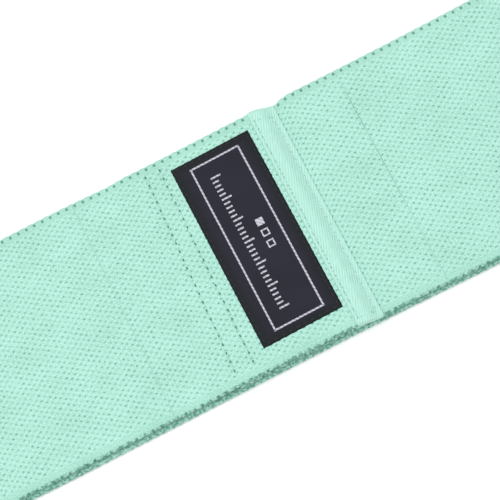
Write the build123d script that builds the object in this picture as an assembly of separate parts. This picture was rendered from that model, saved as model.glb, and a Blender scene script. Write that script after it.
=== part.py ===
from build123d import *
import os

os.makedirs("parts", exist_ok=True)

# Fabric loop resistance band, lying flat in two layers.  Millimetres.
# X runs along the flat loop, Y across it, Z up from the face that it lies on.
# The origin is under the middle of the loop.

# Webbing
flat_length = 380.0        # from fold to fold, the loop lying flat
band_width = 80.0
webbing_thick = 1.9
run_gap = 1.0              # air between the lower and the upper run
edge_round = 0.6           # rounding of the selvedges

# Rubber threads woven into the webbing
thread_dia = 0.8
thread_pitch = 2.0
thread_room = 0.05         # clearance round each thread
selvedge = 2.6             # from the webbing's edge to the outermost thread's centre

# Where the loop flexes and stretches, measured from its middle or its folds
seam_half = 40.0           # hinge line beside the sewn middle
outer_length = 17.6        # unstretched piece of each run beside its fold

# Lap joint: the left end lies on top of the right end
under_ply_end = -27.6      # end of the right webbing, under the left one
top_ply_end = 20.5         # end of the left webbing, under the tape
ply_gap = 0.1              # between the two sewn plies
ramp_clear = 2.9           # from where the left webbing has climbed on top to the under ply's end
ramp_length = 7.0
ramp_bend = 8.0            # bending radius of the ramp's centre line

# Tape over the end of the top ply, wrapped round both selvedges
tape_lap = 4.0             # on the top ply, back from its end
tape_reach = 5.4           # beyond the top ply's end
tape_thick = 0.4
tape_room = 0.05           # between tape and webbing
tape_slope = 2.4           # length of its step down beside the top ply
tape_tab = 12.0            # its end on the underside, from the selvedge

# Label
label_length = 68.6        # across the band
label_width = 29.4
label_thick = 0.4
label_turn = 0.8           # degrees, sewn on a little turned
label_rise = 1.5           # its centre, above the webbing's middle
label_corner = 0.6

# Stitches
stitch_pitch = 3.1
stitch_length = 2.3
stitch_thread = 0.45
hem_inset = 5.0            # ends of the hem rows, from the selvedge
hem_outer = (1.6, 3.9)     # from the under ply's end at the lower and the upper edge, a little skew
hem_inner = (8.3, 9.2)
tape_row_inset = 1.2       # row on the top ply, from the left edge of the tape
tape_row_outset = 1.9      # row beyond the top ply, from the right edge of the tape
tape_top_inset = 3.75      # closing row at the upper selvedge
tape_low_inset = 2.5       # closing row at the lower selvedge
label_stitch_inset = 0.9   # label's edge row, from the label's edge

# Worked-out places
half_width = band_width / 2
fold_radius = webbing_thick + run_gap / 2
fold_x = flat_length / 2 - fold_radius
slide_x = fold_x - outer_length
lower_z = webbing_thick / 2
upper_z = lower_z + webbing_thick + run_gap
under_top = upper_z + webbing_thick / 2
top_ply_z = upper_z + webbing_thick + ply_gap
top_ply_top = top_ply_z + webbing_thick / 2
ramp_end = under_ply_end - ramp_clear
tape_start = top_ply_end - tape_lap
tape_end = top_ply_end + tape_reach
thread_count = int((band_width - 2 * selvedge) / thread_pitch) + 1

# The two ends of each side: -1 is the left side and +1 the right side
sides = {"left": -1, "right": 1}


def thread_places():
    """Centres of the rubber threads across the webbing."""
    spread = thread_pitch * (thread_count - 1)
    return [(n * thread_pitch - spread / 2, 0) for n in range(thread_count)]


def webbing_section():
    """Cross-section of the webbing, with one channel for each rubber thread."""
    outline = RectangleRounded(band_width, webbing_thick, edge_round)
    channel = Circle(thread_dia / 2 + thread_room)
    return outline - Locations(*thread_places()) * channel


def rubber_section():
    """Cross-sections of all the rubber threads."""
    return Sketch() + [Pos(*place) * Circle(thread_dia / 2) for place in thread_places()]


def straight(section, from_x, to_x, centre_z):
    """A flat stretch of the run, from one X to another."""
    low = min(from_x, to_x)
    plane = Plane.YZ.offset(low)
    return extrude(plane * Pos(0, centre_z) * section, amount=abs(to_x - from_x))


def fold(section, side):
    """The half turn at one end of the flat loop."""
    place = Plane.YZ.offset(side * fold_x) * Pos(0, lower_z)
    axis = Axis((side * fold_x, 0, webbing_thick + run_gap / 2), (0, -side, 0))
    return revolve(place * section, axis, 180)


def lapped(section):
    """The left webbing's end, which climbs onto the right one."""
    route = FilletPolyline(
        (-seam_half, 0, upper_z),
        (ramp_end - ramp_length, 0, upper_z),
        (ramp_end, 0, top_ply_z),
        (top_ply_end, 0, top_ply_z),
        radius=ramp_bend,
    )
    return sweep(Plane.YZ.offset(-seam_half) * Pos(0, upper_z) * section, path=route)


def run_pieces(section):
    """All the pieces of the band, cut where it flexes or stretches, by the name of each."""
    pieces = {"lower_centre": straight(section, -seam_half, seam_half, lower_z)}
    for name, side in sides.items():
        for level, centre_z in (("lower", lower_z), ("upper", upper_z)):
            span = straight(section, side * seam_half, side * slide_x, centre_z)
            outer = straight(section, side * slide_x, side * fold_x, centre_z)
            pieces[f"{name}_{level}_span"] = span
            pieces[f"{name}_{level}_outer"] = outer
        pieces[f"{name}_fold"] = fold(section, side)
    pieces["left_end"] = lapped(section)
    pieces["right_end"] = straight(section, under_ply_end, seam_half, upper_z)
    return pieces


def tape_profile(grow):
    """Side view of the space inside the tape, grown by a distance all round."""
    low = upper_z - webbing_thick / 2 - grow
    step = top_ply_end + tape_room + grow
    points = [
        (tape_start, low),
        (tape_end, low),
        (tape_end, under_top + grow),
        (step + tape_slope, under_top + grow),
        (step, top_ply_top + grow),
        (tape_start, top_ply_top + grow),
    ]
    return make_face(Polyline(*points, close=True))


def joining_tape():
    """Twill tape over the raw end of the top ply, turned round both selvedges."""
    outer_half = half_width + tape_room + tape_thick
    inner_half = half_width + tape_room
    outside = extrude(Plane.XZ * tape_profile(tape_room + tape_thick), amount=outer_half, both=True)
    inside = extrude(Plane.XZ * tape_profile(tape_room), amount=inner_half, both=True)
    opening = Pos((tape_start + tape_end) / 2, 0, upper_z - webbing_thick) * Box(
        tape_end - tape_start, band_width - 2 * tape_tab, webbing_thick
    )
    return outside - inside - opening


def label():
    """Woven label on the top ply."""
    blank = extrude(RectangleRounded(label_width, label_length, label_corner), amount=label_thick)
    return Pos(0, label_rise, top_ply_top) * Rot(0, 0, label_turn) * blank


def stitch_row(start, end, height):
    """Stitches in a straight row from one point to another, lying on a face at a height."""
    first = Vector(*start)
    run = Vector(*end) - first
    count = max(1, round(run.length / stitch_pitch))
    turn = Vector(1, 0).get_signed_angle(run, Vector(0, 0, 1)) if run.length else 0
    bar = extrude(SlotOverall(stitch_length, stitch_thread), amount=stitch_thread / 2)
    stitches = []
    for n in range(count):
        place = first + run * ((n + 0.5) / count)
        stitches.append(Pos(place.X, place.Y, height) * Rot(0, 0, turn) * bar)
    return stitches


def hem_row(inset):
    """One hem row across the lap, given its inset at the lower and the upper edge."""
    reach = half_width - hem_inset
    low_x = under_ply_end + inset[0]
    high_x = under_ply_end + inset[1]
    return stitch_row((low_x, -reach), (high_x, reach), top_ply_top)


def tape_box():
    """The box of stitches that holds the tape."""
    left_x = tape_start + tape_row_inset
    right_x = tape_end - tape_row_outset
    upper_y = half_width - tape_top_inset
    lower_y = -half_width + tape_low_inset
    high = top_ply_top + tape_room + tape_thick
    low = under_top + tape_room + tape_thick
    inset = stitch_pitch / 2
    stitches = stitch_row((left_x, lower_y + inset), (left_x, upper_y - inset), high)
    stitches += stitch_row((right_x, lower_y + inset), (right_x, upper_y - inset), low)
    for y in (lower_y, upper_y):
        stitches += stitch_row((left_x, y), (left_x + stitch_length, y), high)
    return stitches


def label_stitches():
    """The row of stitches round the label's edge."""
    x = label_width / 2 - label_stitch_inset
    y = label_length / 2 - label_stitch_inset
    gap = stitch_thread * 2
    top = top_ply_top + label_thick
    stitches = []
    for side in (-1, 1):
        stitches += stitch_row((side * x, gap - y), (side * x, y - gap), top)
        stitches += stitch_row((gap - x, side * y), (x - gap, side * y), top)
    return [Pos(0, label_rise, 0) * Rot(0, 0, label_turn) * stitch for stitch in stitches]


def write(name, shape):
    """One file for each named piece or group of pieces."""
    shape.label = name
    export_step(shape, f"parts/{name}.step")
    print(f"{name}: {len(shape.solids())} solids, {shape.volume:.1f} mm3")


for name, piece in run_pieces(webbing_section()).items():
    write(f"webbing_{name}", piece)
for name, piece in run_pieces(rubber_section()).items():
    write(f"rubber_{name}", Compound(piece.solids()))
write("joining_tape", joining_tape())
write("label", label())
write("hem_stitches_outer", Compound(hem_row(hem_outer)))
write("hem_stitches_inner", Compound(hem_row(hem_inner)))
write("tape_stitches", Compound(tape_box()))
write("label_stitches", Compound(label_stitches()))
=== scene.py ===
import bpy
import math
import numpy as np
from mathutils import Matrix, Vector


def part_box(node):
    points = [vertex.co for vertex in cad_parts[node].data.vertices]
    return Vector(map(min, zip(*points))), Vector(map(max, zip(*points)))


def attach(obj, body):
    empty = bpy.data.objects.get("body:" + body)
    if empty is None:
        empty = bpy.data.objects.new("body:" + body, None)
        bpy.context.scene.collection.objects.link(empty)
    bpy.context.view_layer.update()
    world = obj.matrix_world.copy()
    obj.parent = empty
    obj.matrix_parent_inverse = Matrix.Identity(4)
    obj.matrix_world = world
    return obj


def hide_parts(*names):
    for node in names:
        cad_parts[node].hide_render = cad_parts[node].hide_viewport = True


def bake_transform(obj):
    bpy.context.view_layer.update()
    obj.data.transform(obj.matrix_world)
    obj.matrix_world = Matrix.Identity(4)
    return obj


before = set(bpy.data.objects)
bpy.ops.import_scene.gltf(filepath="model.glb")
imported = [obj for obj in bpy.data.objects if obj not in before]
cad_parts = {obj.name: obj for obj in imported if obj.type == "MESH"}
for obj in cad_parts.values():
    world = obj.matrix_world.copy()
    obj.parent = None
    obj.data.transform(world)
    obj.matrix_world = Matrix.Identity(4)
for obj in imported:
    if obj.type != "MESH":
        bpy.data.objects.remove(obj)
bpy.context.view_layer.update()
print("frame loaded,", len(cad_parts), "CAD nodes")

mm = 0.001
scene = bpy.context.scene


def boxMm(node):
    low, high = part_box(node)
    return [c / mm for c in low], [c / mm for c in high]


# places in the flat loop, in mm, read from the CAD boxes
centreHigh = boxMm("webbing_lower_centre")[1]
upperLow, upperHigh = boxMm("webbing_right_upper_span")
foldLow = boxMm("webbing_right_fold")[0]
topPlyHigh = boxMm("webbing_left_end")[1]
underPlyLow = boxMm("webbing_right_end")[0]

halfWidth = centreHigh[1]
thick = centreHigh[2]
hingeX = centreHigh[0]        # hinge lines beside the sewn middle
slideX = upperHigh[0]
foldX = foldLow[0]            # where the half turns begin
lowerZ = thick / 2
upperZ = (upperLow[2] + upperHigh[2]) / 2
topPlyZ = topPlyHigh[2] - thick / 2
topEndX = topPlyHigh[0]       # raw end of the top ply
underEndX = underPlyLow[0]


# the camera comes first

camera = {
    "span": 0.1667,           # width of the field at the object, m
    "aim": (-3.5, -0.7, 5.0),     # middle of the picture, mm
    "turn": 27.2,             # the loop runs up to the right by this angle
    "tilt": 13.0,             # leaned towards the near selvedge
    "lens": 110.0,
    "sensor": 36.0,
}


def addCamera(c):
    tilt, turn = math.radians(c["tilt"]), math.radians(c["turn"])
    across = Vector((1, 0, 0))
    upward = Vector((0, math.cos(tilt), math.sin(tilt)))
    back = Vector((0, -math.sin(tilt), math.cos(tilt)))
    right = across * math.cos(turn) - upward * math.sin(turn)
    top = across * math.sin(turn) + upward * math.cos(turn)
    distance = c["span"] * c["lens"] / c["sensor"]
    data = bpy.data.cameras.new("camera")
    data.lens, data.sensor_width = c["lens"], c["sensor"]
    data.clip_start, data.clip_end = 0.01, 20
    item = bpy.data.objects.new("camera", data)
    turned = Matrix((right, top, back)).transposed().to_4x4()
    item.matrix_world = Matrix.Translation(Vector(c["aim"]) * mm + back * distance) @ turned
    scene.collection.objects.link(item)
    scene.camera = item


addCamera(camera)


# colours and nodes

def colour(hexValue):
    parts = [int(hexValue[i:i + 2], 16) / 255 for i in (1, 3, 5)]
    return [p / 12.92 if p <= 0.04045 else ((p + 0.055) / 1.055) ** 2.4 for p in parts] + [1]


def newMaterial(name):
    material = bpy.data.materials.new(name)
    material.use_nodes = True
    shader = material.node_tree.nodes["Principled BSDF"]
    return material, material.node_tree, shader


def addNode(tree, kind, inputs=None, **settings):
    node = tree.nodes.new(kind)
    for key, value in settings.items():
        setattr(node, key, value)
    for key, value in (inputs or {}).items():
        if isinstance(value, bpy.types.NodeSocket):
            tree.links.new(value, node.inputs[key])
        else:
            node.inputs[key].default_value = value
    return node


def calc(tree, operation, first, second=0.0, third=0.0):
    node = addNode(tree, "ShaderNodeMath", {0: first, 1: second, 2: third}, operation=operation)
    return node.outputs[0]


def ramp(tree, value, stops):
    node = addNode(tree, "ShaderNodeValToRGB", {0: value})
    band = node.color_ramp
    while len(band.elements) < len(stops):
        band.elements.new(0.5)
    for element, (place, shade) in zip(band.elements, stops):
        element.position, element.color = place, colour(shade)
    return node.outputs["Color"]


# the woven elastic

webbing = {
    "cellAlong": 1.53,        # half the pitch of the holes along the loop, mm
    "cellAcross": 0.985,      # half their pitch across it
    "holeDepth": 0.26,
    "selvedge": 2.5,          # denser plain edge
    "edgeRound": 0.9,
    "rimRows": (1.9, 1.4, 1.05, 0.75, 0.5, 0.25, 0.07),    # rows of points beside the edge, in from it
    "scallop": 0.09,          # the edge waves with the yarns that turn back there
    "edgeHoleInset": 1.1,
    "nearHoleInset": 0.15,    # on the near selvedge they sit out on its turn
    "edgeHoleDepth": 0.35,
    "lowerHoles": 0.15,       # how strongly they show on the lower run
    "slitShade": (0.72, 0.88),    # how dark the slits of the near and far selvedge are
    "loopShadeZone": (0.3, 1.3),   # knit loops, and painted shade with them, show from the near edge in to here
    "lowerLoopShadeZone": (1.2, 3.0),  # and on the lower run, wider, where the painted shade stands for the shadow cast by the ply above
    "wander": 0.10,           # how far the yarns stray from their lattice
    "climbOver": (-38.5, -29.0),  # the top ply climbs over the under ply's end
    # how far each run lies out of line towards the near side, and where that sets in
    "lowerShift": -1.6,
    "bow": -1.35,
    "bowOver": (5, 115),
    "turnsFrom": 85,          # towards the folds the runs come back into line
    "topPlyShift": -0.2,
    "topPlyOver": (-140, -20),
    "underPlyShift": -0.6,
    "underPlyOver": (40, 140),
    # how much wider than its woven width it lies, and where that changes
    "spreadLeft": 2.6,
    "spreadRight": 3.5,
    "spreadSeam": 1.6,        # the seam draws it in
    "seamOver": (-60, -20),
    "lowerOver": (-150, 150),
    "spreadTape": 2.85,       # the under ply beside the tape
    "tapeOver": (24.5, 33),
    "rightOver": (35, 110),
    "drawnIn": 0.9,           # how far the tape pulls in the under ply's far selvedge
    "drawnOver": (25, 28.5),
    "drawnTopOver": (15.5, 20.5),  # and half as far the top ply's
}


def ease(t):
    t = np.clip(t, 0, 1)
    return t * t * (3 - 2 * t)


def between(x, start, end):
    return ease((x - start) / (end - start))


def loopRoute(w):
    # side view of the whole webbing, from the raw end of the top ply round to the end of the under ply
    step = 0.05
    turnRadius = (upperZ - lowerZ) / 2
    midZ = (upperZ + lowerZ) / 2
    turn = np.linspace(0, math.pi, 180)
    climb = lambda x: upperZ + (topPlyZ - upperZ) * between(x, *w["climbOver"])
    x0 = np.arange(topEndX, -foldX, -step)
    x2 = np.arange(-foldX, foldX, step)
    x4 = np.arange(foldX, underEndX - step, -step)
    legs = [
        (x0, climb(x0)),
        (-foldX - turnRadius * np.sin(turn), midZ + turnRadius * np.cos(turn)),
        (x2, np.full_like(x2, lowerZ)),
        (foldX + turnRadius * np.sin(turn), midZ - turnRadius * np.cos(turn)),
        (x4, np.full_like(x4, upperZ)),
    ]
    bow = lambda x: w["bow"] * between(x, *w["bowOver"]) * (1 - between(x, w["turnsFrom"], slideX))
    shifts = [
        bow(x0) + w["topPlyShift"] * between(x0, *w["topPlyOver"]),
        np.zeros(len(turn)),
        bow(x2) + w["lowerShift"] * (1 - between(abs(x2), w["turnsFrom"], slideX)),
        np.zeros(len(turn)),
        bow(x4) + w["underPlyShift"] * (1 - between(x4, *w["underPlyOver"])),
    ]
    left, right, seam, tapeSide = w["spreadLeft"], w["spreadRight"], w["spreadSeam"], w["spreadTape"]
    drawn = w["drawnIn"]
    spreads = [
        left + (seam - left) * between(x0, *w["seamOver"]) - drawn * 0.5 * between(x0, *w["drawnTopOver"]),
        np.full(len(turn), left),
        left + (right - left) * between(x2, *w["lowerOver"]),
        np.full(len(turn), right),
        seam + (tapeSide - seam) * between(x4, *w["tapeOver"]) + (right - tapeSide) * between(x4, *w["rightOver"])
        - drawn * (1 - between(x4, *w["drawnOver"])),
    ]
    x, z = (np.concatenate([leg[n] for leg in legs]) for n in (0, 1))
    gone = np.hypot(np.diff(x), np.diff(z))
    keep = np.concatenate([[True], gone > 1e-6])
    index = np.concatenate([np.full(len(leg[0]), n) for n, leg in enumerate(legs)])[keep]
    x, z, shift, spread = x[keep], z[keep], np.concatenate(shifts)[keep], np.concatenate(spreads)[keep]
    s = np.concatenate([[0], np.cumsum(np.hypot(np.diff(x), np.diff(z)))])
    tx, tz = np.gradient(x, s), np.gradient(z, s)
    size = np.hypot(tx, tz)
    made = {"s": s, "x": x, "z": z, "tx": tx / size, "tz": tz / size}
    return {**made, "shift": shift, "spread": spread, "leg": index}


route = loopRoute(webbing)


def alongAt(leg, x):
    # distance along the webbing where a leg of the route passes an x
    picked = route["leg"] == leg
    xs, ss = route["x"][picked], route["s"][picked]
    order = np.argsort(xs)
    return float(np.interp(x, xs[order], ss[order]))


lowerRunFrom, lowerRunTo = (float(pick(route["s"][route["leg"] == 2])) for pick in (np.min, np.max))


def routeAt(s):
    return [np.interp(s, route["s"], route[key]) for key in ("x", "z", "tx", "tz", "shift", "spread")]


def spreadOut(y, shift, spread):
    # place of a yarn across the band: the shift moves all alike, the spread more towards the far selvedge
    return y + shift + spread * (y + halfWidth) / (2 * halfWidth)


def wander(s, y):
    # slow drift of the yarns, the same on every strip
    a = np.sin(s / 3.1 + 0.7 * np.sin(y / 4.3)) + np.sin(s / 1.7 - y / 2.9 + 1.3)
    b = np.sin(y / 2.3 + 0.9 * np.sin(s / 5.1)) + np.sin(y / 1.3 + s / 3.7 + 0.4)
    return a / 2, b / 2


def hashed(i, j):
    value = np.sin(i * 12.9898 + j * 78.233) * 43758.5453
    return value - np.floor(value)


def holesOf(s, y, w):
    # 1 in a hole of the weave and 0 on a float, with each hole a little different
    i, j = s / w["cellAlong"], y / w["cellAcross"]
    wave = 0.5 + 0.5 * np.cos(math.pi * i) * np.cos(math.pi * j)
    own = 0.65 + 0.6 * hashed(np.round(i), np.round(j))
    inside = 1 - between(abs(y), halfWidth - w["selvedge"] - 0.4, halfWidth - w["selvedge"])
    field = inside * own * np.clip(2 * wave - 1, 0, 1) ** 1.3
    pitch = 2 * w["cellAlong"]
    fromEdge = halfWidth - np.where(y > 0, w["edgeHoleInset"], w["nearHoleInset"]) - abs(y)
    fromHole = s - pitch * np.round(s / pitch)
    lowerRun = (s > lowerRunFrom) & (s < lowerRunTo)
    strength = np.where(lowerRun & (y < 0), w["lowerHoles"], 1.0)
    edge = strength * np.exp(-(fromHole ** 2 / 0.18 + fromEdge ** 2 / 0.40))
    return field, edge


def meshPiece(name, points, quads, caps=(), uv=None):
    mesh = bpy.data.meshes.new(name)
    corners = np.concatenate([quads.ravel()] + [np.asarray(cap) for cap in caps]).astype(np.int32)
    counts = np.concatenate([np.full(len(quads), 4), [len(cap) for cap in caps]]).astype(np.int32)
    starts = np.concatenate([[0], np.cumsum(counts)[:-1]]).astype(np.int32)
    mesh.vertices.add(len(points))
    mesh.vertices.foreach_set("co", (points * mm).astype(np.float32).ravel())
    mesh.loops.add(len(corners))
    mesh.loops.foreach_set("vertex_index", corners)
    mesh.polygons.add(len(starts))
    mesh.polygons.foreach_set("loop_start", starts)
    mesh.polygons.foreach_set("use_smooth", np.arange(len(starts)) < len(quads))
    mesh.update(calc_edges=True)
    if uv is not None:
        layer = mesh.uv_layers.new(name="cloth")
        layer.data.foreach_set("uv", uv[corners].astype(np.float32).ravel())
    item = bpy.data.objects.new(name, mesh)
    scene.collection.objects.link(item)
    return item


def gridQuads(rows, columns, closed):
    i, j = np.meshgrid(np.arange(rows - 1), np.arange(columns if closed else columns - 1), indexing="ij")
    k = (j + 1) % columns
    quads = np.stack([i * columns + j, i * columns + k, (i + 1) * columns + k, (i + 1) * columns + j], -1)
    return quads.reshape(-1, 4)


def twoFaced(n, m):
    # faces of a closed sheet of n by m points: its outer surface, its inner one and the rim between them
    sheet = gridQuads(n, m, False)
    size = n * m
    ring = np.concatenate([np.arange(m), np.arange(1, n) * m + m - 1, (n - 1) * m + np.arange(m - 2, -1, -1),
                           np.arange(n - 2, 0, -1) * m])
    after = np.roll(ring, -1)
    rim = np.stack([ring, after, after + size, ring + size], -1)
    return np.concatenate([sheet[:, ::-1], sheet + size, rim])


# marks that the needle leaves: the widths squared of holes, line and groove, and how deep they go
needleMarks = {
    "holeAlong": 0.12,
    "holeAcross": 0.50,
    "line": 0.05,
    "groove": 0.9,
    "grooveDepth": 0.20,
    "pitDepth": 0.30,
}


def givePitShade(item, pits):
    # how much of a needle hole, or of the line along a row, is at each point, for the material to darken as
    # painted shade
    attribute = item.data.attributes.new("needlePitShade", "FLOAT", "POINT")
    attribute.data.foreach_set("value", pits.astype(np.float32).ravel())


def webbingStrip(name, sFrom, sTo, w, perCell=3, needles=None):
    along = w["cellAlong"] / perCell
    step = w["cellAcross"] / 3
    rows = sFrom + np.arange(round((sTo - sFrom) / along) + 1) * along
    core = halfWidth - w["selvedge"]
    fine = np.arange(-math.floor(core / step), math.floor(core / step) + 1) * step
    coarse = fine[(len(fine) // 2) % 3::3]
    rim = halfWidth - np.array(w["rimRows"])
    outer = np.concatenate([-rim[::-1], fine, rim])
    inner = np.concatenate([rim[::-2], coarse[::-1], -rim[::2]])
    y = np.concatenate([[-halfWidth], outer, [halfWidth], inner])
    face = np.concatenate([[0], np.ones(len(outer)), [0], -np.ones(len(inner))])
    gridS, gridY = np.meshgrid(rows, y, indexing="ij")
    gridFace = np.broadcast_to(face, gridS.shape)
    x, z, tx, tz, shift, spread = routeAt(gridS)
    off = np.clip((abs(gridY) - halfWidth + w["edgeRound"]) / w["edgeRound"], 0, 1)
    half = thick / 2 * np.sqrt(np.maximum(0, 1 - off ** 2))
    field, edge = holesOf(gridS, gridY, w)
    sink = np.minimum(half, w["holeDepth"] * field + w["edgeHoleDepth"] * edge)
    pits = np.zeros_like(gridS)
    if needles is not None:
        own = needleMarks
        for holeS, holeY in needles["holes"]:
            near = np.exp(-((gridS - holeS) ** 2 / own["holeAlong"] + (gridY - holeY) ** 2 / own["holeAcross"]))
            pits = np.maximum(pits, near * (gridFace > 0))
        groove = np.zeros_like(gridS)
        for (s0, y0), (s1, y1) in needles["rows"]:
            t = np.clip((gridY - y0) / (y1 - y0), 0, 1)
            away = np.hypot(gridS - (s0 + t * (s1 - s0)), np.maximum(0, np.maximum(y0 - gridY, gridY - y1)))
            groove = np.maximum(groove, np.exp(-away ** 2 / own["groove"]))
            # painted shade: a dark line along each sunk row of stitches
            line = np.exp(-away ** 2 / own["line"]) * (0.5 + 0.25 * np.sin(gridY * 1.9 + s0))
            pits = np.maximum(pits, line * (gridFace > 0))
        sink = np.minimum(half, sink + (gridFace > 0) * (own["grooveDepth"] * groove + own["pitDepth"] * pits))
    strayS, strayY = wander(gridS, gridY)
    innerShare = 1 - between(abs(gridY), halfWidth - 2.5, halfWidth - 0.5)
    stray = w["wander"] * strayS * (innerShare + 0.2)
    height = gridFace * (half - sink)
    px = x + tz * height + tx * stray
    pz = z - tx * height + tz * stray
    scallop = w["scallop"] * np.cos(math.pi * gridS / w["cellAlong"]) * np.sign(gridY) * (1 - innerShare)
    py = spreadOut(gridY, shift, spread) + w["wander"] * strayY * innerShare - scallop
    points = np.stack([px, py, pz], -1).reshape(-1, 3)
    uv = np.stack([gridS, gridY], -1).reshape(-1, 2)
    n, m = gridS.shape
    caps = [np.arange(m)[::-1], np.arange(m) + (n - 1) * m]
    item = meshPiece(name, points, gridQuads(n, m, True), caps, uv)
    givePitShade(item, pits)
    length = (rows[-1] - rows[0]) * mm
    return item, (2 * halfWidth * mm, length)


# rubber threads that run inside the webbing, side by side
rubber = {"diameter": 0.8, "pitch": 2.0, "count": 38, "sides": 6}


def rubberThreads(name, sFrom, sTo, r):
    coarse = np.arange(sFrom, sTo, 1.5)
    turns = [s for s in route["s"][::8] if sFrom < s < sTo]
    bends = [s for s in turns if abs(np.interp(s, route["s"], route["tz"])) > 0.02]
    s = np.unique(np.concatenate([coarse, bends, [sTo]]))
    x, z, tx, tz, shift, spread = routeAt(s)
    angle = np.arange(r["sides"]) * 2 * math.pi / r["sides"]
    centres = (np.arange(r["count"]) - (r["count"] - 1) / 2) * r["pitch"]
    radius = r["diameter"] / 2
    rise = radius * np.sin(angle)[None, None, :]
    y = spreadOut(centres[:, None, None], shift[None, :, None], spread[None, :, None])
    y = y + radius * np.cos(angle)[None, None, :]
    px = np.broadcast_to(x[None, :, None] + tz[None, :, None] * rise, y.shape)
    pz = np.broadcast_to(z[None, :, None] - tx[None, :, None] * rise, y.shape)
    points = np.stack([px, y, pz], -1).reshape(-1, 3)
    one = gridQuads(len(s), r["sides"], True)
    size = len(s) * r["sides"]
    quads = np.concatenate([one[:, ::-1] + size * n for n in range(r["count"])])
    caps = []
    for n in range(r["count"]):
        caps += [np.arange(r["sides"]) + size * n, np.arange(r["sides"])[::-1] + size * (n + 1) - r["sides"]]
    return meshPiece(name, points, quads, caps)


# where the rows of stitches run

def rowOf(start, end, pitch):
    (x0, y0), (x1, y1) = start, end
    count = max(1, round(math.hypot(x1 - x0, y1 - y0) / pitch))
    share = [(n / count) for n in range(count + 1)]
    return [(x0 + (x1 - x0) * t, y0 + (y1 - y0) * t) for t in share]


stitching = {"pitch": 3.1, "diameter": 0.46, "length": 2.75, "sink": 0.34, "hemDiameter": 0.30, "hemDepth": 0.30}

outerLow, outerHigh = boxMm("hem_stitches_outer")
innerLow, innerHigh = boxMm("hem_stitches_inner")
hemReach = 1.8                # they run on this far
hemRows = {
    "hemStitchesOuter": ((outerLow[0] + 0.2, outerLow[1]), (outerHigh[0] - 0.2, outerHigh[1] + hemReach)),
    "hemStitchesInner": ((innerLow[0] + 0.2, innerLow[1]), (innerHigh[0] - 0.2, innerHigh[1] + hemReach)),
}


def hemNeedles():
    holes, rows = [], []
    for start, end in hemRows.values():
        for x, y in rowOf(start, end, stitching["pitch"]):
            holes.append((alongAt(0, x), y))
        rows.append(((alongAt(0, start[0]), start[1]), (alongAt(0, end[0]), end[1])))
    return {"holes": holes, "rows": rows}


# strips of webbing between the places where the loop flexes

flex = {
    "hinge": 8.0,             # a hinge zone reaches this far to each side
    "beside": 10.0,           # where strips are cut beside a hinge
    "slideFrom": 52.0,        # a slide zone lies between these
    "slideTo": 166.0,
    "cut": 168.0,
    "foldFrom": 185.3,        # a fold zone lies between these
    "foldTo": 189.9,
}


def stripPlan(f):
    plan = []
    for side, sign in (("left", -1), ("right", 1)):
        upperLeg, foldLeg = (0, 1) if sign < 0 else (4, 3)
        cutX = sign * (hingeX + f["beside"])
        farX = sign * f["cut"]
        picked = route["s"][route["leg"] == foldLeg]
        tip = (picked[0] + picked[-1]) / 2      # the middle of the half turn
        endX = topEndX if sign < 0 else underEndX
        spots = {
            "Centre": (alongAt(2, 0), alongAt(2, cutX)),
            "LowerSpan": (alongAt(2, cutX), alongAt(2, farX)),
            "LowerOuter": (alongAt(2, farX), tip),
            "Fold": (tip, alongAt(upperLeg, farX)),
            "UpperSpan": (alongAt(upperLeg, farX), alongAt(upperLeg, cutX)),
            "End": (alongAt(upperLeg, cutX), alongAt(upperLeg, endX)),
        }
        hinge = (sign * (hingeX - f["hinge"]), sign * (hingeX + f["hinge"]))
        slide = (sign * f["slideFrom"], sign * f["slideTo"])
        fold = (sign * f["foldFrom"], sign * f["foldTo"])
        joins = {
            "Centre": ("lower_centre", f"{side}_lower_span", *hinge, ["lower_centre"]),
            "LowerSpan": (f"{side}_lower_span", f"{side}_lower_outer", *slide, [f"{side}_lower_span"]),
            "LowerOuter": (f"{side}_lower_outer", f"{side}_fold", *fold, [f"{side}_lower_outer"]),
            "Fold": (f"{side}_upper_outer", f"{side}_fold", *fold, [f"{side}_fold", f"{side}_upper_outer"]),
            "UpperSpan": (f"{side}_upper_span", f"{side}_upper_outer", *slide, [f"{side}_upper_span"]),
            "End": (f"{side}_end", f"{side}_upper_span", *hinge, [f"{side}_end"]),
        }
        for part, (a, b) in spots.items():
            plan.append((side.capitalize() + part, part, sign, min(a, b), max(a, b), *joins[part]))
    return plan


def makeStrips():
    lattice = webbing["cellAlong"]
    needles = hemNeedles()
    made = {}
    for name, part, sign, low, high, bodyA, bodyB, start, end, nodes in stripPlan(flex):
        low, high = ((math.floor(v / lattice) + 0.5) * lattice for v in (low, high))
        own = needles if name == "LeftEnd" else None
        detail = 6 if own else 5 if part == "End" else 3      # rows of points to a cell of the weave
        strip, flat = webbingStrip("webbing" + name, low, high, webbing, detail, own)
        threads = rubberThreads("rubber" + name, low + 0.02, high - 0.02, rubber)
        for item, kind in ((strip, "webbing"), (threads, "rubber_thread")):
            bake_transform(item)
        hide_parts(*["webbing_" + node for node in nodes])
        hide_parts(*["rubber_" + node for node in nodes])
        made[name] = (strip, threads)
    print("webbing and rubber threads made,", len(made), "stretches")
    return made


strips = makeStrips()

# twill tape over the raw end, turned round both selvedges

tapeLow, tapeHigh = boxMm("joining_tape")
tape = {
    "thick": 0.42,
    "room": 0.06,
    "slopeFrom": topEndX - 0.3,   # the step down beside the top ply
    "slopeTo": topEndX + 4.8,
    "tab": 12.0,              # how far its ends reach under the band
    "ribPitch": 0.85,         # twill lines
    "ribAngle": 68.0,         # from the length of the loop
    "ribHeight": 0.09,
    "rows": 44,
    "puff": 0.1,              # how far it stands out at the far selvedge
    "drawn": 0.25,            # how far its near end is pulled in
    "farDrawn": 0.65,         # and the right corner of its far end
    "stepCloth": 0.9,         # cloth that the step takes up, mm
    "rowShade": (0.75, 0.35),  # how dark the needle holes of its left and right row are
    "cornerRound": 0.3,
}


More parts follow.
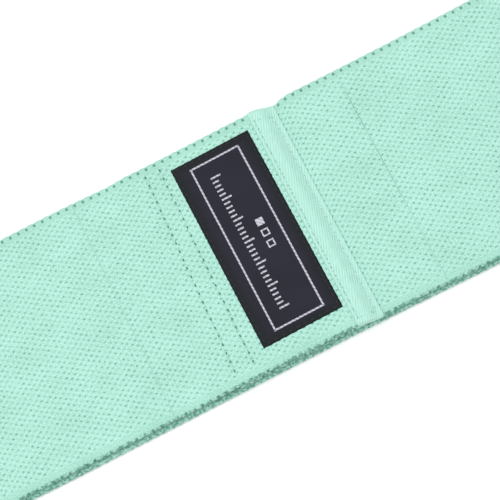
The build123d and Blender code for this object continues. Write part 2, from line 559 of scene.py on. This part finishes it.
def tapeShift(x):
    # its ends follow the two plies, which are sewn a little out of line
    upper = webbing["topPlyShift"]
    lower = webbing["underPlyShift"] + webbing["bow"] * between(x, *webbing["bowOver"])
    return upper + (lower - upper) * between(x, tapeLow[0], tapeHigh[0])


def tapeSpread(x):
    # its far end reaches over both plies, of which the under ply is the wider beyond the seam
    left, right = webbing["spreadSeam"], webbing["spreadSeam"] - tape["farDrawn"]
    return left + (right - left) * between(x, tapeLow[0], tapeHigh[0])


def tapeTop(x, t):
    high, low = topPlyZ + thick / 2, upperZ + thick / 2
    return high + (low - high) * between(x, t["slopeFrom"], t["slopeTo"]) + t["room"]


def tapeCurve(t, lift):
    # stations across the band: along the top, round the selvedge, and back underneath, mirrored
    turn = np.linspace(0, math.pi, 27)
    flat = np.linspace(0, halfWidth - 1.0, 150)
    tab = np.linspace(halfWidth - 1.0, halfWidth - t["tab"], 40)[1:]
    kind = np.concatenate([np.zeros(len(flat)), np.ones(len(turn) - 2), np.full(len(tab) + 1, 2)])
    rounded = halfWidth - 1.0 + np.sin(turn[1:-1]) ** 0.75 * (1.0 + lift)
    y = np.concatenate([flat, rounded, [halfWidth - 1.0], tab])
    level = np.concatenate([np.ones(len(flat)), np.sign(np.cos(turn[1:-1])) * abs(np.cos(turn[1:-1])) ** 0.6,
                            -np.ones(len(tab) + 1)])
    return kind, y, level


def makeTape(t):
    x = np.linspace(tapeLow[0], tapeHigh[0], t["rows"])
    under = upperZ - thick / 2 - t["room"]
    surfaces = []
    for lift in (t["room"] + t["thick"], t["room"]):
        grow = lift - t["room"]
        kind, y, level = tapeCurve(t, lift)
        gridX, gridY = np.meshgrid(x, np.concatenate([-y[:0:-1], y]), indexing="ij")
        gridLevel = np.broadcast_to(np.concatenate([level[:0:-1], level]), gridX.shape)
        gridKind = np.broadcast_to(np.concatenate([kind[:0:-1], kind]), gridX.shape)
        top = tapeTop(gridX, t) + grow
        low = under - grow
        gridZ = (top + low) / 2 + gridLevel * (top - low) / 2
        gone = np.cumsum(np.hypot(np.diff(gridY[0]), np.diff(gridZ[0])))
        clothV = np.broadcast_to(np.concatenate([[0], gone]) - gone[len(gone) // 2], gridX.shape)
        clothU = gridX - tapeLow[0] + between(gridX, t["slopeFrom"], t["slopeTo"]) * t["stepCloth"]
        angle = math.radians(t["ribAngle"])
        across = (clothU * math.sin(angle) - clothV * math.cos(angle)) / t["ribPitch"]
        waver = 0.12 * np.sin(clothV / 3.3) + 0.05 * np.sin(clothV / 1.1)
        rib = 0.5 + 0.5 * np.sin(2 * math.pi * (across + waver))
        edge = np.minimum(gridX - tapeLow[0], tapeHigh[0] - gridX)
        rolled = 1 - between(edge, 0, 0.5)
        out = grow > 0
        down = out * (t["ribHeight"] * (1 - rib) * (1 - rolled) + 0.16 * rolled)
        # needle holes: sunk a little, and marked for the material to paint them dark as shade
        pits = np.zeros_like(gridX)
        for (rowX, reach), shade in zip(tapeRows(t), t["rowShade"]):
            near = np.exp(-(gridX - rowX) ** 2 / 0.25) * (abs(gridY) < reach)
            down = down + out * 0.10 * near * (gridKind == 0)
            for _, holeY in rowOf((rowX, stitchBoxLow[1]), (rowX, stitchBoxHigh[1]), stitching["pitch"]):
                hole = np.exp(-((gridX - rowX) ** 2 / 0.10 + (gridY - holeY) ** 2 / 0.35))
                pits = np.maximum(pits, out * hole * (gridKind == 0) * shade)
        down = down + 0.12 * pits
        gridZ = gridZ - down * gridLevel
        corner = t["cornerRound"] * (1 - between(edge, 0, 1.2))
        stand = np.where(gridY > 0, t["puff"] * 0.5, -t["drawn"])
        bulge = out * (stand - corner) * (gridKind == 1) * np.sqrt(1 - np.clip(abs(gridLevel), 0, 1))
        gridY = spreadOut(gridY, tapeShift(gridX), tapeSpread(gridX)) + np.sign(gridY) * bulge
        surfaces.append((np.stack([gridX, gridY, gridZ], -1), np.stack([clothU, clothV], -1), pits))
    (outer, uvOuter, pits), (inner, uvInner, _) = surfaces
    n, m = outer.shape[:2]
    points = np.concatenate([outer.reshape(-1, 3), inner.reshape(-1, 3)])
    uv = np.concatenate([uvOuter.reshape(-1, 2), uvInner.reshape(-1, 2)])
    size = n * m
    quads = twoFaced(n, m)
    item = meshPiece("joiningTape", points, quads, (), uv)
    givePitShade(item, np.concatenate([pits.ravel(), np.zeros(size)]))
    return item


stitchBoxLow, stitchBoxHigh = boxMm("tape_stitches")


def tapeRows(t):
    # the two long rows of its stitching, as X and how far they reach
    leftX = stitchBoxLow[0] + 0.22
    rightX = stitchBoxHigh[0] - 0.22
    return [(leftX, stitchBoxHigh[1] + 0.5), (rightX, stitchBoxHigh[1] + 0.5)]


# woven label

labelLow, labelHigh = boxMm("label")
label = {
    "width": 29.4,
    "length": 68.6,
    "thick": 0.38,
    "turn": 0.8,
    "shift": 0.25,            # its ply lies this much out of line, mm
    "cell": 0.35,             # mesh, mm
    "edgeRound": 0.5,
    "stitchInset": 1.1,
    "stitchDip": 0.06,
    "foldRise": 0.07,         # its turned-in edges stand up a little
    "pucker": 0.05,
    "soft": 0.05,             # slow unevenness
    "fray": 0.06,
    "frame": (18.5, 62.3),    # raised border line
    "frameOffset": (0.35, 0.1),
    "line": 0.62,
    "relief": 0.07,
}
labelMiddle = [(labelLow[0] + labelHigh[0]) / 2, (labelLow[1] + labelHigh[1]) / 2]
labelTop = topPlyHigh[2]


def ontoLabel(p, q, z):
    # from the label's own width and length to the frame, with its slight turn and the shift of its ply
    turn = math.radians(label["turn"])
    x = labelMiddle[0] + p * math.cos(turn) - q * math.sin(turn)
    y = labelMiddle[1] + p * math.sin(turn) + q * math.cos(turn) + label["shift"]
    return x, y, labelTop + z


def labelSurface(p, q):
    # height of its upper face: rounded folds at its edges, and puckers between the stitches
    c = label
    inP, inQ = c["width"] / 2 - abs(p), c["length"] / 2 - abs(q)
    inset = np.minimum(inP, inQ)
    rounded = np.sqrt(np.clip(1 - np.clip(1 - inset / c["edgeRound"], 0, 1) ** 2, 0, 1))
    fold = c["foldRise"] * np.exp(-(inset - 0.5) ** 2 / 0.5)
    pucker = c["pucker"] * np.exp(-(inset - c["stitchInset"]) ** 2 / 0.5) * np.cos(2 * math.pi * (p + q) / 2.6)
    dip = c["stitchDip"] * np.exp(-(inset - c["stitchInset"]) ** 2 / 0.12)
    soft = c["soft"] * np.sin(q / 7.3 + 0.6) * np.cos(p / 5.1) * between(inset, 0, 3)
    return c["thick"] * rounded + (fold - dip + pucker + soft) * rounded


def makeLabel(c):
    p = np.linspace(-c["width"] / 2, c["width"] / 2, round(c["width"] / c["cell"]))
    q = np.linspace(-c["length"] / 2, c["length"] / 2, round(c["length"] / c["cell"]))
    gridP, gridQ = np.meshgrid(p, q, indexing="ij")
    sideP = (abs(gridP) > c["width"] / 2 - 0.1) * np.sign(gridP)
    sideQ = (abs(gridQ) > c["length"] / 2 - 0.1) * np.sign(gridQ)
    fray = c["fray"] * (np.sin(gridQ * 5.1) + np.sin(gridQ * 2.3 + 1)) * sideP
    frayQ = c["fray"] * (np.sin(gridP * 4.7) + np.sin(gridP * 2.1 + 2)) * sideQ
    gridZ = np.maximum(labelSurface(gridP, gridQ), 0.04)
    top = np.stack(ontoLabel(gridP + fray, gridQ + frayQ, gridZ), -1).reshape(-1, 3)
    low = np.stack(ontoLabel(gridP, gridQ, np.full_like(gridP, -0.02)), -1).reshape(-1, 3)
    n, m = gridP.shape
    quads = twoFaced(n, m)
    uv = np.stack([gridP, gridQ], -1).reshape(-1, 2)
    return meshPiece("wovenLabel", np.concatenate([top, low]), quads, (), np.concatenate([uv, uv]))


# pieces made and laid out in copies

def deselectAll():
    bpy.ops.object.select_all(action="DESELECT")


def takeMesh(item):
    # hands over the finished model's points and faces, and clears it away
    points = np.array([v.co for v in item.data.vertices])
    faces = [list(f.vertices) for f in item.data.polygons]
    bpy.data.objects.remove(item, do_unlink=True)
    return points, faces


def copiesPiece(name, allPoints, allFaces):
    mesh = bpy.data.meshes.new(name)
    mesh.from_pydata((np.concatenate(allPoints) * mm).tolist(), [], allFaces)
    mesh.polygons.foreach_set("use_smooth", [True] * len(mesh.polygons))
    item = bpy.data.objects.new(name, mesh)
    scene.collection.objects.link(item)
    return item


def layCopies(name, model, places):
    # one object of many copies; a place is its middle, its direction across the band plane, and its length share
    points, faces = model
    allPoints, allFaces = [], []
    for x, y, z, heading, share in places:
        c, n = math.cos(heading), math.sin(heading)
        own = points * [share, 1, 1]
        moved = np.stack([x + own[:, 0] * c - own[:, 1] * n, y + own[:, 0] * n + own[:, 1] * c, z + own[:, 2]], -1)
        start = len(points) * len(allPoints)
        allPoints.append(moved)
        allFaces += [[v + start for v in f] for f in faces]
    return copiesPiece(name, allPoints, allFaces)


def modelStitch(c):
    # one sewn stitch along X in mm: a rounded bar of thread whose ends dive into the cloth
    deselectAll()
    bpy.ops.mesh.primitive_uv_sphere_add(segments=10, ring_count=12, radius=c["diameter"] / 2,
                                         rotation=(0, math.pi / 2, 0))
    item = bpy.context.object
    bpy.ops.object.transform_apply(location=False, rotation=True, scale=False)
    bpy.ops.object.mode_set(mode="EDIT")
    bpy.ops.mesh.select_all(action="SELECT")
    bpy.ops.transform.resize(value=(c["length"] / c["diameter"], 1, 0.8))
    bpy.ops.object.mode_set(mode="OBJECT")
    half = c["length"] / 2
    for v in item.data.vertices:
        share = abs(v.co.x) / half
        v.co.z += c["diameter"] * 0.12 - c["sink"] * share ** 2.4
    return takeMesh(item)


def rowPlaces(row, height):
    places = []
    for (x0, y0), (x1, y1) in zip(row, row[1:]):
        x, y = (x0 + x1) / 2, (y0 + y1) / 2
        places.append((x, y, height(x, y), math.atan2(y1 - y0, x1 - x0), 1.0))
    return places


def onTopPly(x, y):
    shift, spread = routeAt(alongAt(0, x))[4:]
    return x, float(spreadOut(y, shift, spread))


def makeHemStitches(c):
    model = modelStitch({**c, "diameter": c["hemDiameter"], "length": 2.2})
    top = lambda x, y: topPlyZ + thick / 2 - c["hemDepth"]
    made = []
    for name, (start, end) in hemRows.items():
        row = [onTopPly(x, y) for x, y in rowOf(start, end, c["pitch"])]
        made.append(layCopies(name, model, rowPlaces(row, top)))
    return made


def makeTapeStitches(c):
    (leftX, _), (rightX, _) = tapeRows(tape)
    lowY, highY = stitchBoxLow[1], stitchBoxHigh[1]
    corners = [(leftX, lowY), (rightX, lowY), (rightX, highY), (leftX, highY), (leftX, lowY)]
    surface = lambda x, y: float(tapeTop(x, tape)) + tape["thick"] - 0.10
    places = []
    for start, end in zip(corners, corners[1:]):
        row = [(x, float(spreadOut(y, tapeShift(x), tapeSpread(x)))) for x, y in rowOf(start, end, c["pitch"])]
        places += rowPlaces(row, surface)
    return layCopies("tapeStitches", modelStitch({**c, "length": 2.5}), places)


def makeLabelStitches(c):
    p, q = label["width"] / 2 - label["stitchInset"], label["length"] / 2 - label["stitchInset"]
    corners = [(-p, -q), (p, -q), (p, q), (-p, q), (-p, -q)]
    places = []
    for start, end in zip(corners, corners[1:]):
        for (x, y, _, heading, share) in rowPlaces(rowOf(start, end, 2.6), lambda x, y: 0):
            height = float(labelSurface(np.array(x), np.array(y)))
            places.append((*ontoLabel(x, y, height - 0.02), heading + math.radians(label["turn"]), share))
    return layCopies("labelStitches", modelStitch({**c, "length": 2.1, "diameter": 0.36}), places)


# marks woven into the label: a border line, a scale and three pips, with no lettering
marks = {
    "scaleAt": -2.2,          # middle of the scale, across the label
    "scaleLength": 50.0,
    "ticks": 31,
    "tall": 3.6,
    "short": 2.2,
    "tickWidth": 0.62,
    "pipsAt": 3.8,
    "pip": 2.6,
    "pipPitch": 4.1,
    "pipLine": 0.5,
}


def raisedBar(width, length):
    # a flat embroidered bar with softened edges, in mm, lying on z = 0
    deselectAll()
    bpy.ops.mesh.primitive_cube_add(size=1, location=(0, 0, 0))
    item = bpy.context.object
    bpy.ops.object.mode_set(mode="EDIT")
    bpy.ops.mesh.select_all(action="SELECT")
    bpy.ops.transform.resize(value=(width, length, label["relief"] * 2))
    bpy.ops.mesh.bevel(offset=label["relief"] * 0.8, segments=2)
    bpy.ops.object.mode_set(mode="OBJECT")
    return takeMesh(item)


def makeMarks(m):
    parts = []
    ox, oy = label["frameOffset"]
    w, h = label["frame"]
    line = label["line"]
    step = 0.42                                       # one weft float of the border
    for side in (-1, 1):
        for n in range(round(h / step)):
            parts.append((ox + side * (w - line) / 2, oy - h / 2 + step * (n + 0.5), line, step * 1.25, 0.03))
        for n in range(round(w / step)):
            parts.append((ox - w / 2 + step * (n + 0.5), oy + side * (h - line) / 2, step * 1.25, line, 0.08))
    for n in range(m["ticks"]):
        q = m["scaleLength"] * (n / (m["ticks"] - 1) - 0.5)
        tall = m["tall"] if n % 5 == 0 else m["short"]
        count = round(tall / 0.4)
        for k in range(count):
            p = m["scaleAt"] - m["tall"] / 2 + tall * (k + 0.5) / count
            parts.append((p, q, tall / count * 1.2, m["tickWidth"], 0.04))
    for n in range(3):
        q = m["pipPitch"] * (1 - n)
        rows = round(m["pip"] / 0.4)
        for k in range(rows):
            p = m["pipsAt"] - m["pip"] / 2 + m["pip"] * (k + 0.5) / rows
            if n == 0 or k in (0, rows - 1):
                parts.append((p, q, m["pip"] / rows * 1.15, m["pip"], 0.03))
            else:
                for side in (-1, 1):
                    edge = q + side * (m["pip"] - m["pipLine"]) / 2
                    parts.append((p, edge, m["pip"] / rows * 1.2, m["pipLine"], 0.03))
    points, faces = raisedBar(1, 1)
    allPoints, allFaces = [], []
    for n, (p, q, sizeP, sizeQ, waver) in enumerate(parts):
        jitter = waver * (2 * float(hashed(n, 3.0)) - 1)
        own = points * [sizeP, sizeQ, 1]
        a, b = own[:, 0] + p + jitter, own[:, 1] + q + jitter * 0.6
        z = labelSurface(a, b) + own[:, 2]
        start = len(points) * n
        allPoints.append(np.stack(ontoLabel(a, b, z), -1))
        allFaces += [[v + start for v in f] for f in faces]
    return copiesPiece("labelMarks", allPoints, allFaces)


# materials

def clothCoordinates(tree):
    source = addNode(tree, "ShaderNodeUVMap", uv_map="cloth").outputs[0]
    split = addNode(tree, "ShaderNodeSeparateXYZ", {0: source})
    return source, split.outputs["X"], split.outputs["Y"]


def smoothStep(tree, value, start, end, low=0.0, high=1.0):
    node = addNode(tree, "ShaderNodeMapRange", {"Value": value, "From Min": start, "From Max": end,
                                                "To Min": low, "To Max": high}, interpolation_type="SMOOTHSTEP")
    return node.outputs["Result"]


def noiseOn(tree, source, scale, detail=2.0, rough=0.5):
    # scale is in cycles per mm along and across the cloth
    placed = addNode(tree, "ShaderNodeMapping", {"Vector": source, "Scale": (scale[0], scale[1], 1)})
    node = addNode(tree, "ShaderNodeTexNoise", {"Vector": placed.outputs[0], "Scale": 1.0, "Detail": detail,
                                                "Roughness": rough})
    return node.outputs[0]


def mixColours(tree, share, first, second, mode="MIX"):
    node = tree.nodes.new("ShaderNodeMix")
    node.data_type, node.blend_type = "RGBA", mode
    for key, value in ((0, share), (6, first), (7, second)):
        if isinstance(value, bpy.types.NodeSocket):
            tree.links.new(value, node.inputs[key])
        else:
            node.inputs[key].default_value = value
    return node.outputs[2]


webColours = {
    "float": "#AFDBCE",       # crown of a yarn; the colours below darken it towards the holes as painted shade
    "flank": "#A5D2C4",
    "slope": "#95C4B5",
    "hole": "#77A898",
    "pit": "#427364",         # selvedge slits and needle holes, their darkness painted shade
    "fleck": "#C9DBD5",       # darkest of the loose fibres
    "loopShadeDark": "#A0C3B7",    # loops of the near selvedge, which is knit, darkened further as painted shade
    "loopLight": "#FFFFFF",
}


def wovenElastic(w):
    # polyester yarns woven over covered rubber: matt, with a hole at every crossing darkened as painted shade, and
    # a soft fuzz
    material, tree, shader = newMaterial("wovenPolyesterElastic")
    source, u, v = clothCoordinates(tree)
    waveU = calc(tree, "COSINE", calc(tree, "MULTIPLY", u, math.pi / w["cellAlong"]))
    waveV = calc(tree, "COSINE", calc(tree, "MULTIPLY", v, math.pi / w["cellAcross"]))
    wave = calc(tree, "MULTIPLY_ADD", calc(tree, "MULTIPLY", waveU, waveV), 0.5, 0.5)
    away = calc(tree, "ABSOLUTE", v)
    inside = smoothStep(tree, away, halfWidth - w["selvedge"] - 0.4, halfWidth - w["selvedge"], 1.0, 0.0)
    uneven = smoothStep(tree, noiseOn(tree, source, (0.6, 0.9), 1.0), 0.34, 0.66, 0.45, 1.0)
    holes = calc(tree, "MULTIPLY", calc(tree, "MULTIPLY", calc(tree, "POWER", wave, 3.0), 0.86), uneven)
    body = addNode(tree, "ShaderNodeMix", {"Factor": inside, "A": 0.22, "B": holes}).outputs["Result"]
    slitRow = smoothStep(tree, v, -1.0, 1.0, halfWidth - w["nearHoleInset"], halfWidth - w["edgeHoleInset"])
    rowAway = calc(tree, "ABSOLUTE", calc(tree, "SUBTRACT", away, slitRow))
    inRow = smoothStep(tree, rowAway, 0.25, 0.8, 1.0, 0.0)
    slits = calc(tree, "MULTIPLY", smoothStep(tree, waveU, 0.2, 0.9), inRow)
    upperLeft = smoothStep(tree, u, lowerRunFrom - 5, lowerRunFrom, 1.0, w["lowerHoles"])
    upperRight = smoothStep(tree, u, lowerRunTo, lowerRunTo + 5, w["lowerHoles"], 1.0)
    upper = calc(tree, "MAXIMUM", upperLeft, upperRight)
    nearShade = calc(tree, "MULTIPLY", upper, w["slitShade"][0])
    farShade = calc(tree, "MULTIPLY", calc(tree, "GREATER_THAN", v, 0.0), w["slitShade"][1])
    slits = calc(tree, "MULTIPLY", slits, calc(tree, "MAXIMUM", nearShade, farShade))
    pits = addNode(tree, "ShaderNodeAttribute", attribute_name="needlePitShade").outputs["Fac"]
    dark = calc(tree, "MAXIMUM", calc(tree, "MAXIMUM", body, slits), smoothStep(tree, pits, 0.2, 0.8))
    # painted shade: the colour darkens from the yarn crowns down the slopes into the holes, slits and needle pits
    cloth = ramp(tree, dark, [(0.0, webColours["float"]), (0.22, webColours["flank"]), (0.45, webColours["slope"]),
                              (0.75, webColours["hole"]), (1.0, webColours["pit"])])
    fibres = noiseOn(tree, source, (1.9, 2.6), 2.0, 0.7)
    patches = noiseOn(tree, source, (0.06, 0.10), 2.0)
    tint = ramp(tree, calc(tree, "MULTIPLY_ADD", patches, 0.15, calc(tree, "MULTIPLY", fibres, 0.85)),
                [(0.34, webColours["fleck"]), (0.60, "#FFFFFF")])
    # painted shade: the loop ramp darkens the near selvedge, and a wider strip of it on the lower run, besides
    # drawing its knit loops
    narrow, wide = (smoothStep(tree, v, near - halfWidth, far - halfWidth, 1.0, 0.0)
                    for near, far in (w["loopShadeZone"], w["lowerLoopShadeZone"]))
    loopsAndShadeMask = addNode(tree, "ShaderNodeMix", {"Factor": upper, "A": wide, "B": narrow}).outputs["Result"]
    loopNoise = noiseOn(tree, source, (0.9, 1.2), 1.0, 0.6)
    loops = ramp(tree, loopNoise, [(0.42, webColours["loopShadeDark"]), (0.56, webColours["loopLight"])])
    shaded = mixColours(tree, loopsAndShadeMask, colour("#FFFFFF"), loops)
    woven = mixColours(tree, 1.0, cloth, tint, "MULTIPLY")
    tree.links.new(mixColours(tree, 1.0, woven, shaded, "MULTIPLY"), shader.inputs["Base Color"])
    shader.inputs["Roughness"].default_value = 0.88
    shader.inputs["IOR"].default_value = 1.5
    shader.inputs["Specular IOR Level"].default_value = 0.2
    shader.inputs["Sheen Weight"].default_value = 0.12
    shader.inputs["Sheen Roughness"].default_value = 0.5
    height = calc(tree, "SUBTRACT", calc(tree, "MULTIPLY", fibres, 0.8), dark)
    height = calc(tree, "MULTIPLY_ADD", calc(tree, "MULTIPLY", loopNoise, loopsAndShadeMask), 2.0, height)
    bump = addNode(tree, "ShaderNodeBump", {"Strength": 0.5, "Distance": 0.12 * mm, "Height": height})
    tree.links.new(bump.outputs[0], shader.inputs["Normal"])
    return material


def twillTape(t):
    # spun polyester twill: smooth slanting ridges of parallel fibres with a low sheen
    material, tree, shader = newMaterial("polyesterTwillTape")
    source, u, v = clothCoordinates(tree)
    angle = math.radians(t["ribAngle"])
    slant = calc(tree, "SUBTRACT", calc(tree, "MULTIPLY", u, math.sin(angle) / t["ribPitch"]),
                 calc(tree, "MULTIPLY", v, math.cos(angle) / t["ribPitch"]))
    rib = calc(tree, "SINE", calc(tree, "MULTIPLY", slant, 2 * math.pi))
    turned = addNode(tree, "ShaderNodeVectorRotate", {"Vector": source, "Angle": -angle}, rotation_type="Z_AXIS")
    fibres = noiseOn(tree, turned.outputs[0], (0.35, 4.5), 3.0, 0.6)
    shade = calc(tree, "MULTIPLY_ADD", rib, 0.18, fibres)
    cloth = ramp(tree, shade, [(0.25, "#93C1B2"), (0.5, "#A3D1C3"), (0.8, "#AEDACD")])
    pits = addNode(tree, "ShaderNodeAttribute", attribute_name="needlePitShade").outputs["Fac"]
    # painted shade: the needle holes of the tape's stitching are darkened in colour
    cloth = mixColours(tree, smoothStep(tree, pits, 0.1, 1.0), cloth, colour(webColours["pit"]))
    tree.links.new(cloth, shader.inputs["Base Color"])
    shader.inputs["Roughness"].default_value = 0.62
    shader.inputs["Specular IOR Level"].default_value = 0.35
    shader.inputs["Sheen Weight"].default_value = 0.2
    bump = addNode(tree, "ShaderNodeBump", {"Strength": 0.4, "Distance": 0.08 * mm, "Height": shade})
    tree.links.new(bump.outputs[0], shader.inputs["Normal"])
    return material


def objectCoordinates(tree):
    return addNode(tree, "ShaderNodeTexCoord").outputs["Object"]


def sewingThread(name, light, dark, rough, sheen=0.15):
    # twisted polyester thread: small slanting strands and a soft gleam
    material, tree, shader = newMaterial(name)
    source = objectCoordinates(tree)
    strands = addNode(tree, "ShaderNodeTexWave", {"Vector": source, "Scale": 420.0, "Distortion": 1.5,
                                                  "Detail": 1.0}, bands_direction="DIAGONAL").outputs["Fac"]
    tree.links.new(ramp(tree, strands, [(0.1, dark), (0.8, light)]), shader.inputs["Base Color"])
    shader.inputs["Roughness"].default_value = rough
    shader.inputs["Sheen Weight"].default_value = sheen
    bump = addNode(tree, "ShaderNodeBump", {"Strength": 0.4, "Distance": 0.05 * mm, "Height": strands})
    tree.links.new(bump.outputs[0], shader.inputs["Normal"])
    return material


def satinLabel(c):
    # damask label of black polyester satin: fine floats across it, and a greener black at its folded rim
    material, tree, shader = newMaterial("wovenPolyesterSatin")
    source, u, v = clothCoordinates(tree)
    satin = addNode(tree, "ShaderNodeTexWave", {"Vector": source, "Scale": 0.85, "Distortion": 2.0, "Detail": 2.0,
                                                "Detail Scale": 2.0}, bands_direction="X").outputs["Fac"]
    threads = noiseOn(tree, source, (0.7, 3.4), 3.0, 0.65)
    patches = noiseOn(tree, source, (0.05, 0.08), 1.0)
    weave = calc(tree, "MULTIPLY_ADD", satin, 0.35, calc(tree, "MULTIPLY", threads, 0.65))
    middle = ramp(tree, calc(tree, "MULTIPLY_ADD", patches, 0.5, calc(tree, "MULTIPLY", weave, 0.5)),
                  [(0.3, "#1B1B25"), (0.7, "#242430")])
    rimU = calc(tree, "SUBTRACT", c["width"] / 2, calc(tree, "ABSOLUTE", u))
    rimV = calc(tree, "SUBTRACT", c["length"] / 2, calc(tree, "ABSOLUTE", v))
    rim = smoothStep(tree, calc(tree, "MINIMUM", rimU, rimV), 1.2, 4.2, 1.0, 0.0)
    tone = mixColours(tree, rim, middle, colour("#181C1F"))
    tree.links.new(tone, shader.inputs["Base Color"])
    shader.inputs["Roughness"].default_value = 0.6
    shader.inputs["Specular IOR Level"].default_value = 0.12
    bump = addNode(tree, "ShaderNodeBump", {"Strength": 0.35, "Distance": 0.05 * mm, "Height": weave})
    tree.links.new(bump.outputs[0], shader.inputs["Normal"])
    return material


def latexThread():
    # cut natural rubber thread: dull cream with a dusting of talc
    material, tree, shader = newMaterial("naturalLatexThread")
    source = objectCoordinates(tree)
    dust = addNode(tree, "ShaderNodeTexNoise", {"Vector": source, "Scale": 900.0, "Detail": 3.0}).outputs[0]
    tree.links.new(ramp(tree, dust, [(0.3, "#CDC5B2"), (0.7, "#E1DCCE")]), shader.inputs["Base Color"])
    shader.inputs["Roughness"].default_value = 0.7
    shader.inputs["IOR"].default_value = 1.52
    bump = addNode(tree, "ShaderNodeBump", {"Strength": 0.2, "Distance": 0.03 * mm, "Height": dust})
    tree.links.new(bump.outputs[0], shader.inputs["Normal"])
    return material


def give(material, *items):
    for item in items:
        item.data.materials.clear()
        item.data.materials.append(material)


# making and dressing the sewn pieces

give(wovenElastic(webbing), *[strip for strip, _ in strips.values()])
give(latexThread(), *[threads for _, threads in strips.values()])
print("webbing dressed")

joiningTape = makeTape(tape)
wovenLabel = makeLabel(label)
hemStitches = makeHemStitches(stitching)
tapeStitches = makeTapeStitches(stitching)
labelStitches = makeLabelStitches(stitching)
labelMarks = makeMarks(marks)
seamThread = sewingThread("polyesterSeamThread", "#AEDACD", "#8ABCAC", 0.55)
blackThread = sewingThread("polyesterBlackThread", "#13151D", "#0A0B10", 0.6, 0.02)
paleThread = sewingThread("polyesterPaleWeft", "#BBBBC4", "#92929E", 0.5)
give(twillTape(tape), joiningTape)
give(satinLabel(label), wovenLabel)
give(seamThread, tapeStitches, *hemStitches)
give(blackThread, labelStitches)
give(paleThread, labelMarks)
print("tape, label and stitches made")

for item, body, kind, node in (
    (joiningTape, "right_end", "tape", "joining_tape"),
    (tapeStitches, "right_end", "seam_thread", "tape_stitches"),
    (wovenLabel, "left_end", "label", "label"),
    (labelMarks, "left_end", "label", None),
    (labelStitches, "left_end", "label_thread", "label_stitches"),
    (hemStitches[0], "left_end", "seam_thread", "hem_stitches_outer"),
    (hemStitches[1], "left_end", "seam_thread", "hem_stitches_inner"),
):
    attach(item, body)
    if node:
        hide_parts(node)


# floor and light

def addFloor():
    deselectAll()
    bpy.ops.mesh.primitive_plane_add(size=6, location=(0, 0, -0.0003))
    item = bpy.context.object
    item.name = "floor"
    material, tree, shader = newMaterial("whiteStudioBoard")
    shader.inputs["Base Color"].default_value = colour("#FAFAFA")
    shader.inputs["Roughness"].default_value = 0.9
    give(material, item)


lights = {
    "zenith": 1.16,           # a dome that is bright overhead
    "horizon": 0.26,          # and dim low down, so that the selvedges fall into shade
    "key": {"at": (-0.30, 0.38, 1.25), "size": 0.9, "power": 8.2},
    "fill": {"at": (0.35, -0.95, 0.85), "size": 1.2, "power": 2.4},
}


def addLights(c):
    world = bpy.data.worlds.new("studio")
    scene.world = world
    world.use_nodes = True
    tree = world.node_tree
    background = tree.nodes["Background"]
    background.inputs["Color"].default_value = (1, 1, 1, 1)
    direction = addNode(tree, "ShaderNodeTexCoord").outputs["Generated"]
    rise = addNode(tree, "ShaderNodeSeparateXYZ", {0: direction}).outputs["Z"]
    tree.links.new(smoothStep(tree, rise, 0.0, 0.9, c["horizon"], c["zenith"]), background.inputs["Strength"])
    for name in ("key", "fill"):
        own = c[name]
        data = bpy.data.lights.new(name, "AREA")
        data.size, data.energy = own["size"], own["power"]
        item = bpy.data.objects.new(name, data)
        item.location = own["at"]
        item.rotation_euler = (-Vector(own["at"])).to_track_quat("-Z", "Y").to_euler()
        scene.collection.objects.link(item)


addFloor()
addLights(lights)
scene.view_settings.view_transform = "Standard"
print("scene lit")
